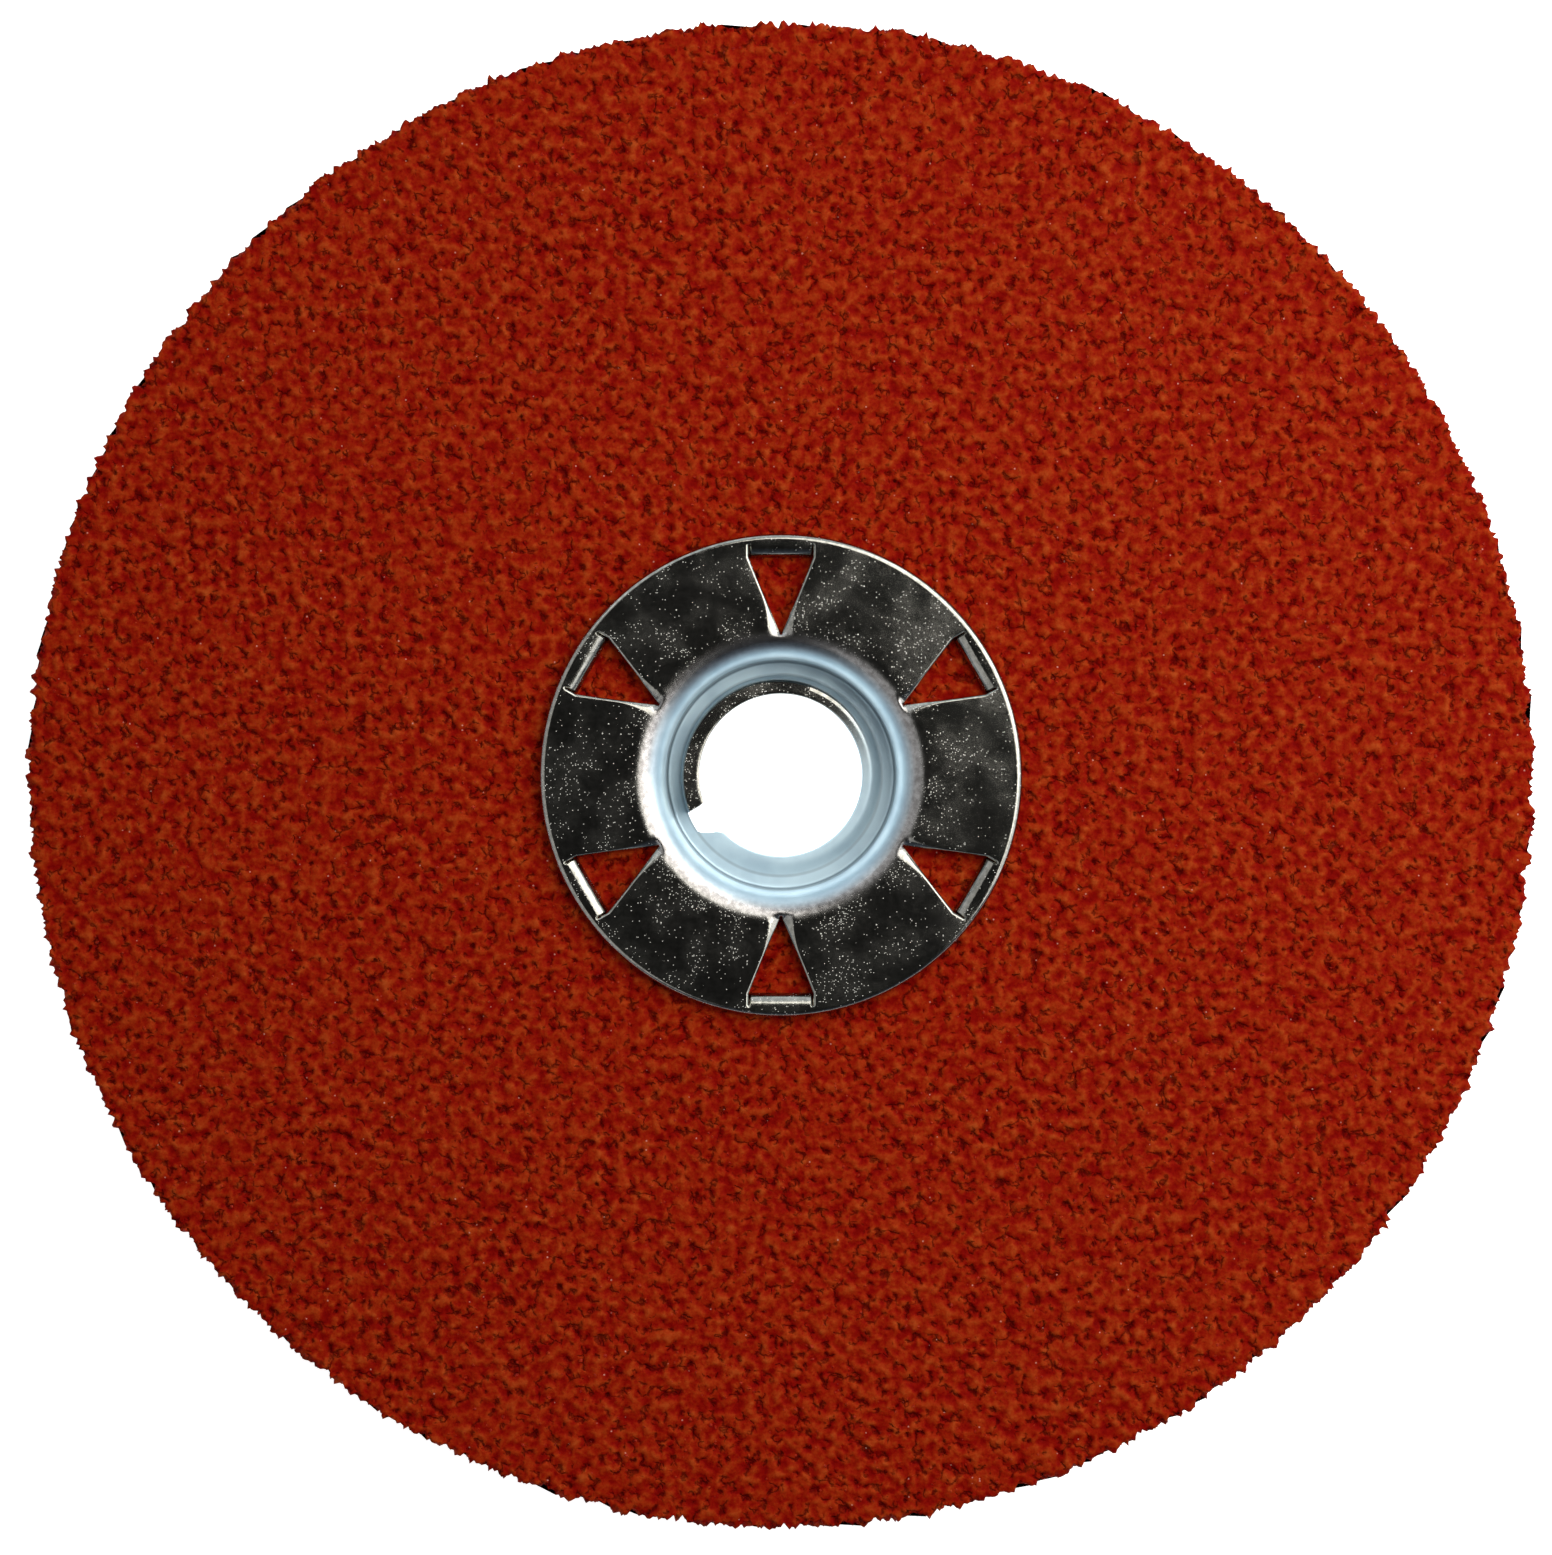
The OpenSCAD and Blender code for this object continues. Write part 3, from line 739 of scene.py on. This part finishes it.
def flangeSixth():
    outline = windowOutline()
    inR, flatR = hub["seamR"], hub["flatR"]
    angles = [math.radians(a) for a in range(-30, 31)]
    verts, edges = [], []

    def addLine(points, closed):
        first = len(verts)
        verts.extend(points)
        edges.extend((first + i, first + i + 1) for i in range(len(points) - 1))
        if closed:
            edges.append((first + len(points) - 1, first))

    radial = list(np.linspace(inR, flatR, 22))
    border = [(inR * math.cos(a), inR * math.sin(a)) for a in angles]
    border += [(r * math.cos(angles[-1]), r * math.sin(angles[-1])) for r in radial[1:-1]]
    border += [(flatR * math.cos(a), flatR * math.sin(a)) for a in reversed(angles)]
    border += [(r * math.cos(angles[0]), r * math.sin(angles[0])) for r in reversed(radial[1:-1])]
    addLine(border, True)
    addLine(outline, True)
    for x in (18.47, 18.56, 18.68, 18.84, 19.04, 19.27, hub["bendAxisR"]):  # rows round the tang's upper bend
        wide = hub["tangHalf"] - 0.012
        addLine([(x, wide * i / 20) for i in range(-20, 21)], False)
    extra = []
    line = np.array(outline)
    ahead, behind = np.roll(line, -1, axis=0), np.roll(line, 1, axis=0)
    along = ahead - behind
    outward = np.stack([-along[:, 1], along[:, 0]], axis=1) / np.linalg.norm(along, axis=1)[:, None]
    for offset in (0.06, 0.2, 0.47, 0.85, 1.35):
        gap = offset * rollRadius(line[:, 0])
        ring = line + outward * gap[:, None]
        clear = distanceTo(outline, ring) > gap * 0.93
        inTang = abs(ring[:, 1]) < hub["tangHalf"]
        inTang &= (ring[:, 0] > hub["rootR"]) & (ring[:, 0] < hub["bendAxisR"])
        extra.append(ring[clear & ~inTang & ~insideOf(outline, ring)])
    grid = np.array([(r * math.cos(math.radians(a)), r * math.sin(math.radians(a)))
                     for r in np.arange(inR + 0.4, flatR - 0.2, hub["gridStep"])
                     for a in np.arange(-28.4, 28.5, hub["gridTurn"])])
    clear = (distanceTo(outline, grid) > 0.45) & ~insideOf(outline, grid)
    extra.append(grid[clear])
    extra = np.concatenate(extra)
    reach = np.linalg.norm(extra, axis=1)
    turned = np.degrees(np.arctan2(extra[:, 1], extra[:, 0]))
    extra = extra[(reach > inR + 0.05) & (reach < flatR - 0.05) & (abs(turned) < 29.5)]
    verts.extend(map(tuple, extra))
    flatVerts, _, triangles, _, _, _ = delaunay_2d_cdt([Vector(v) for v in verts], edges, [], 0, 1e-6)
    flatVerts = np.array([tuple(v) for v in flatVerts])
    triangles = [tuple(t) for t in triangles]
    centres = np.array([flatVerts[list(t)].mean(axis=0) for t in triangles])
    corners = np.array([flatVerts[list(t)] for t in triangles])
    one, two = corners[:, 1] - corners[:, 0], corners[:, 2] - corners[:, 0]
    area = abs(one[:, 0] * two[:, 1] - one[:, 1] * two[:, 0]) / 2
    good = ~insideOf(outline, centres) & (np.linalg.norm(centres, axis=1) > inR) & (area > 1e-4)
    triangles = [t for t, ok in zip(triangles, good) if ok]
    used = sorted({i for t in triangles for i in t})
    renumber = {old: new for new, old in enumerate(used)}
    triangles = [tuple(renumber[i] for i in t) for t in triangles]
    flatVerts = flatVerts[used]
    gaps = distanceTo(outline, flatVerts)
    top, under = [], []
    bend, axis, thin = hub["bendR"], hub["bendAxisR"], hub["bendR"] - hub["sheet"]
    foot = []
    for i, ((x, y), gap) in enumerate(zip(flatVerts, gaps)):
        if abs(y) <= hub["tangHalf"] + 1e-5 and x < axis + 1e-6 and x > hub["rootR"]:
            sine = (axis - x) / bend
            cosine = math.sqrt(max(0.0, 1 - sine * sine))
            out = bend - rollDrop(hub["tangHalf"] - abs(y), x)
            top.append((axis - out * sine, y, upperBendZ + out * cosine))
            under.append((axis - thin * sine, y, upperBendZ + thin * cosine))
            if x < hub["rootR"] + 0.021:
                foot.append(i)
        else:
            r = math.hypot(x, y)
            underR, low = shoulderPoint(r, hub["sheet"])
            fade = min(1.0, max(0.0, (r - inR - hub["fadeStart"]) / hub["fadeLength"]))
            top.append((x, y, shoulderPoint(r, 0.0)[1] - rollDrop(gap, x) * fade))
            under.append((x * underR / r, y * underR / r, low))
    faces = list(triangles)
    foot.sort(key=lambda i: top[i][1])
    acrossTang = [(top[i][1], rollDrop(hub["tangHalf"] - abs(top[i][1]), hub["rootR"])) for i in foot]
    path = []  # the tang below its upper bend: outside, inside, and half its width
    slim = (hub["tangHalf"] - hub["tipHalf"]) / (upperBendZ - lowerBendZ + bend)
    for z in np.linspace(upperBendZ, lowerBendZ, 6):
        wide = hub["tangHalf"] - slim * (upperBendZ - z)
        path.append(((axis - bend, z), (axis - thin, z), (1.0, 0.0), wide))
    for b in np.linspace(15, 90, 6):
        c, s = math.cos(math.radians(b)), math.sin(math.radians(b))
        wide = hub["tangHalf"] - slim * (upperBendZ - lowerBendZ + bend * s)
        outside, inside = (axis - bend * c, lowerBendZ - bend * s), (axis - thin * c, lowerBendZ - thin * s)
        path.append((outside, inside, (c, s), wide))
    for t in np.linspace(0.12, 1.0, 9):
        x = axis + (hub["tipEndR"] - axis) * t
        wide = hub["tipHalf"] * (1 - 0.93 * t)
        path.append(((x, lowerBendZ - bend), (x, lowerBendZ - thin), (0.0, 1.0), wide))
    before = foot
    for (ox, oz), (ix, iz), (nx, nz), wide in path:
        row = []
        for y, drop in acrossTang:
            row.append(len(top))
            drop *= wide / hub["tangHalf"]
            top.append((ox + nx * drop, y * wide / hub["tangHalf"], oz + nz * drop))
            under.append((ix, y * wide / hub["tangHalf"], iz))
        faces += [(before[i], before[i + 1], row[i + 1], row[i]) for i in range(len(row) - 1)]
        before = row
    # the rounded outer edge of the flange
    rim = [i for i, (x, y, z) in enumerate(top) if abs(math.hypot(x, y) - flatR) < 1e-5 and z > underZ + 0.5]
    rim.sort(key=lambda i: math.atan2(top[i][1], top[i][0]))
    before = rim
    for a in np.linspace(0, 90, 8):
        r = hub["flangeR"] - hub["edgeR"] * (1 - math.sin(math.radians(a)))
        z = topZ - hub["edgeR"] * (1 - math.cos(math.radians(a)))
        row = []
        for angle in angles:
            row.append(len(top))
            top.append((r * math.cos(angle), r * math.sin(angle), z))
            under.append((r * math.cos(angle), r * math.sin(angle), underZ))
        faces += [(before[i], row[i], row[i + 1], before[i + 1]) for i in range(len(row) - 1)]
        before = row

    def goesOn(a, b):  # the inner arc and the two straight sides meet other sheets
        inner = all(abs(math.hypot(p[0], p[1]) - inR) < 1e-4 for p in (a, b))
        sides = all(abs(abs(math.degrees(math.atan2(p[1], p[0]))) - 30) < 1e-4 for p in (a, b))
        return inner or sides

    points, faces = closeSheet(top, under, faces, goesOn)
    return makeObject("hubPressing", points, faces)


def hubCup():
    top, under, faces, rows = [], [], [], []

    def addRow(places):
        row = []
        for k, (r, z, r2, z2, shift) in enumerate(places):
            a = math.radians(hub["lipStart"] - k + shift)
            row.append(len(top))
            top.append((r * math.cos(a), r * math.sin(a), z))
            under.append((r2 * math.cos(a), r2 * math.sin(a), z2))
        rows.append(row)

    axis, big, sheet = hub["shoulderAxisR"], hub["shoulderR"], hub["sheet"]
    cupR, corner, floorTop = axis - big, hub["cornerR"], hubLow.z + sheet
    closed = []
    first = math.degrees(math.asin((axis - hub["seamR"]) / big))
    for a in np.linspace(first, 90, 15):
        s, c = math.sin(math.radians(a)), math.cos(math.radians(a))
        closed.append((axis - big * s, topZ - big * (1 - c),
                       axis - (big - sheet) * s, topZ - big + (big - sheet) * c))
    for z in np.linspace(topZ - big, floorTop + corner, 5)[1:]:
        closed.append((cupR, z, cupR + sheet, z))
    for a in np.linspace(0, 90, 7)[1:]:
        s, c = math.sin(math.radians(a)), math.cos(math.radians(a))
        closed.append((cupR - corner * (1 - c), floorTop + corner * (1 - s),
                       cupR - corner + (corner + sheet) * c, floorTop + corner - (corner + sheet) * s))
    for r in np.linspace(cupR - corner, hub["footR"], 4)[1:]:
        closed.append((r, floorTop, r, floorTop - sheet))
    for place in closed:
        addRow([(*place, 0.0)] * 360)
    for a, b in zip(rows, rows[1:]):
        faces += [(a[k], a[(k + 1) % 360], b[(k + 1) % 360], b[k]) for k in range(360)]
    ringEnd = len(rows) - 1
    climbs = [(t, t * t * (3 - 2 * t)) for t in (0.12, 0.25, 0.4, 0.55, 0.7, 0.85, 1.0)]
    hole, foot = hub["holeR"], hub["footR"]
    for step in range(len(climbs) + 6):
        places = []
        for k in range(lipColumns + 1):
            along = k / lipColumns
            rise = hub["rise"] * (1 - along)
            crest = hub["crestHigh"] + (hub["crestLow"] - hub["crestHigh"]) * along
            crest -= hub["crestRound"]  # the rounding starts outside the level part
            steep = rise / (rise + foot - crest)
            drop = 0.0
            if step < len(climbs):
                t, s = climbs[step]
                r, z = foot + (crest - foot) * t, rise * s
                r2 = r - hub["lipThin"] * sheet * steep * min(1.0, t * 3)
            else:
                t = (0.35, 0.7, 0.9, 0.97, 0.99, 1.0)[step - len(climbs)]
                drop = (0.0, 0.0, 0.0, 0.02, 0.07, 0.16)[step - len(climbs)]
                r, z = crest + (hole - crest) * t, rise
                crest2 = crest - hub["lipThin"] * sheet * steep
                r2 = max(hole, crest2 + (hole - crest2) * t)
                r = min(r, crest) if t < 1 else hole
                if step - len(climbs) in (2, 3, 4):
                    r = hole + (0.14, 0.07, 0.02)[step - len(climbs) - 2] * min(1.0, (crest - hole) / 0.5)
            r2 = max(r2, hole)
            fromEnd, fromStart = max(0.0, (k - lipColumns + 30) / 30), max(0.0, (14 - k) / 14)
            inward = (foot - r) / (foot - hole)
            edge = max(0.0, 0.5 - (r - hole)) / 0.5
            shift = 9.0 * fromEnd * inward ** 0.8 + 2.5 * fromEnd ** 3 * edge ** 2  # the slanted end
            shift -= fromStart * (2.0 * inward + edge ** 2)
            places.append((r, floorTop + z - drop, r2, max(hubLow.z, floorTop + z - sheet), shift))
        addRow(places)
    for n in range(ringEnd, len(rows) - 1):
        a, b = rows[n], rows[n + 1]
        faces += [(a[k], a[k + 1], b[k + 1], b[k]) for k in range(lipColumns)]

    def atSeam(a, b):  # where the flange goes on
        return min(math.hypot(*a[:2]), math.hypot(*b[:2])) > hub["seamR"] - 1e-4

    points, faces = closeSheet(top, under, faces, atSeam)
    return makeObject("cupPart", points, faces)


hubTree, groupIn, groupOut = newTree(
    "sixthsOfTheFlange", "GeometryNodeTree",
    {"Geometry": ("NodeSocketGeometry", None), "Count": ("NodeSocketInt", 6),
     "First angle": ("NodeSocketFloat", 0.0), "Join distance": ("NodeSocketFloat", 0.001 * mm)},
    {"Geometry": "NodeSocketGeometry"})
spots = addNode(hubTree, "GeometryNodeMeshLine",
                {"Count": groupIn.outputs["Count"], "Offset": (0.0, 0.0, 0.0)})
index = hubTree.nodes.new("GeometryNodeInputIndex").outputs[0]
stepAngle = calc(hubTree, "DIVIDE", 2 * math.pi, groupIn.outputs["Count"])
angle = calc(hubTree, "ADD", groupIn.outputs["First angle"], calc(hubTree, "MULTIPLY", index, stepAngle))
turned = addNode(hubTree, "ShaderNodeCombineXYZ", {"Z": angle})
copies = addNode(hubTree, "GeometryNodeInstanceOnPoints", {
    "Points": spots.outputs[0], "Instance": groupIn.outputs["Geometry"], "Rotation": turned.outputs[0]})
real = addNode(hubTree, "GeometryNodeRealizeInstances", {"Geometry": copies.outputs[0]})
joined = addNode(hubTree, "GeometryNodeMergeByDistance",
                 {"Geometry": real.outputs[0], "Distance": groupIn.outputs["Join distance"]})
painted = addNode(hubTree, "GeometryNodeSetMaterial", {"Geometry": joined.outputs[0], "Material": zinc})
hubTree.links.new(painted.outputs[0], groupOut.inputs["Geometry"])

pressing = flangeSixth()
runTree(pressing, hubTree, {"Count": hub["windows"], "First angle": math.radians(hub["firstWindow"]),
                            "Join distance": hub["weld"] * mm})
cup = hubCup()
body = bmesh.new()
body.from_mesh(pressing.data)
body.from_mesh(cup.data)
bmesh.ops.remove_doubles(body, verts=body.verts, dist=hub["weld"] * mm)
bmesh.ops.dissolve_degenerate(body, edges=body.edges, dist=0.0005 * mm)
bmesh.ops.recalc_face_normals(body, faces=body.faces)
openEdges = [e for e in body.edges if len(e.link_faces) != 2]
for edge in body.edges:
    edge.smooth = len(edge.link_faces) == 2 and edge.calc_face_angle() < math.radians(hub["sharpAngle"])
for face in body.faces:
    face.smooth = True
    face.material_index = 0
body.to_mesh(pressing.data)
body.free()
bpy.data.objects.remove(cup)
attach(pressing, root)
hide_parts("hub_nut")
print("hub ready:", len(pressing.data.polygons), "faces,", len(openEdges), "open edges")


# the two flat layers keep their CAD shape
for name, material in (("fibre_backing", fibreMaterial), ("make_coat", makeResin)):
    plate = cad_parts[name]
    if not plate.material_slots:
        plate.data.materials.append(material)
    for place in plate.material_slots:
        place.material = material
print("fibre and bond painted")
